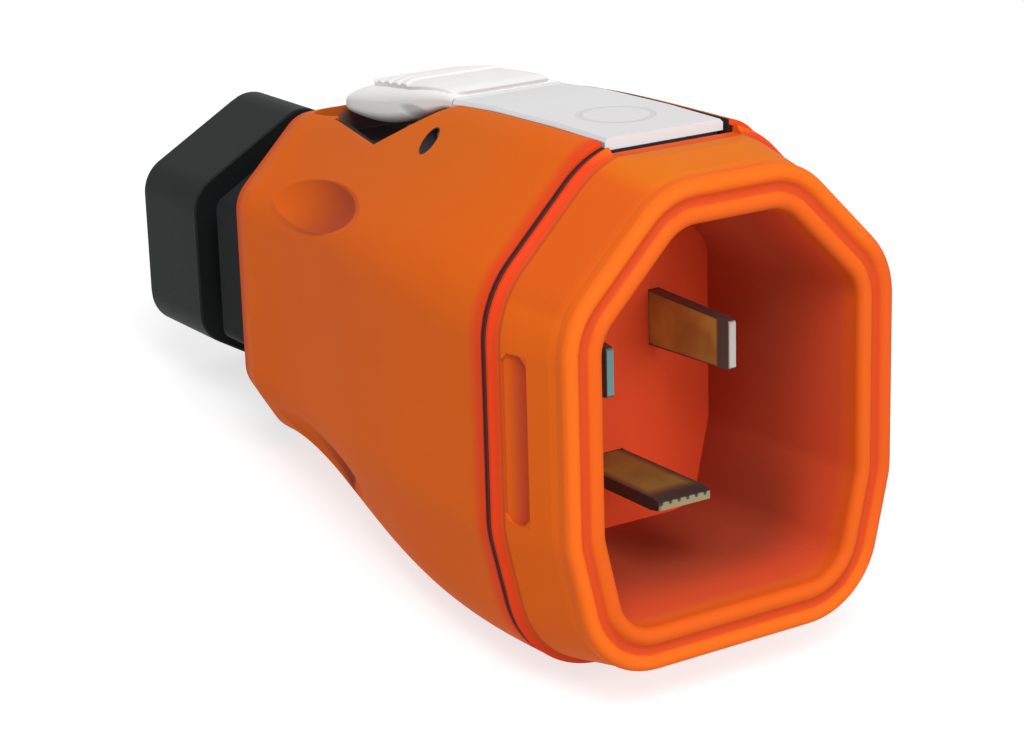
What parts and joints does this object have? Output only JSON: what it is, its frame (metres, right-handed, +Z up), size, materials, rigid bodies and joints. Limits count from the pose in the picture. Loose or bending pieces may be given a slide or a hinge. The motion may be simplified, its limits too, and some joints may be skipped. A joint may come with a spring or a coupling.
{
  "type": "inline power connector",
  "caption": "Inline DC power connector: keyed octagonal socket shroud with flat blade contacts, thumb-lever latch on top, tapered hand grip and compression cable gland.",
  "frame": {"origin": "centre of the mouth opening, in the plane of its rim", "axes": "+Y runs back along the mating axis to the cable gland, +Z is up through the latch lever, +X is to the right seen from behind the mouth's face looking along +Y"},
  "size_m": [0.0716, 0.1593, 0.0857],
  "materials": {
    "shell": "fine satin orange moulding",
    "lever": "satin light grey moulding",
    "gland": "matt black nylon",
    "tray": "matt black",
    "slip_ring": "smooth natural nylon",
    "carrier": "matt dark grey",
    "seal": "matt black elastomer",
    "pin": "plain ground pin",
    "spring": "drawn wire",
    "blade": "polished brass, tips worn bright",
    "clamp_plate": "zinc plated",
    "screw": "zinc plated"
  },
  "bodies": {
    "housing": {"front_shroud": "shell", "rear_body": "shell", "seam_gasket": "seal", "latch_pin": "pin", "latch_spring": "spring", "spring_tray": "tray", "contact_carrier": "carrier", "blade_left": "blade", "blade_right": "blade", "blade_earth": "blade", "clamp_plate_left": "clamp_plate", "clamp_plate_right": "clamp_plate", "clamp_plate_earth": "clamp_plate", "terminal_screw_left": "screw", "terminal_screw_right": "screw", "terminal_screw_earth": "screw", "carrier_screw_1": "screw", "carrier_screw_2": "screw", "carrier_screw_3": "screw", "gland_body": "gland", "gland_locknut": "gland", "gland_washer": "seal"},
    "latch": {"latch_lever": "lever"},
    "gland_pack": {"slip_ring": "slip_ring", "cable_seal": "seal"},
    "nut": {"gland_nut": "gland"}
  },
  "joints": [
    {"name": "latch_hinge", "type": "hinge", "parent": "housing", "child": "latch", "pos_m": [0, 0.058, 0.0368], "axis": [-1, 0, 0], "range_deg": [0, 5.5], "stiffness_Nm_per_rad": 0.9, "springref_deg": -1.72, "deforming": ["latch_spring"]},
    {"name": "gland_travel", "type": "slide", "parent": "housing", "child": "gland_pack", "axis": [0, -1, 0], "range_m": [-0.003, 0.002]},
    {"name": "gland_turn", "type": "hinge", "parent": "gland_pack", "child": "nut", "pos_m": [0, 0.147, 0], "axis": [0, -1, 0], "range_deg": [-720, 480]}
  ],
  "couplings": [
    {"joint": "gland_travel", "follows": "gland_turn", "m_per_rad": 0.00023873}
  ]
}
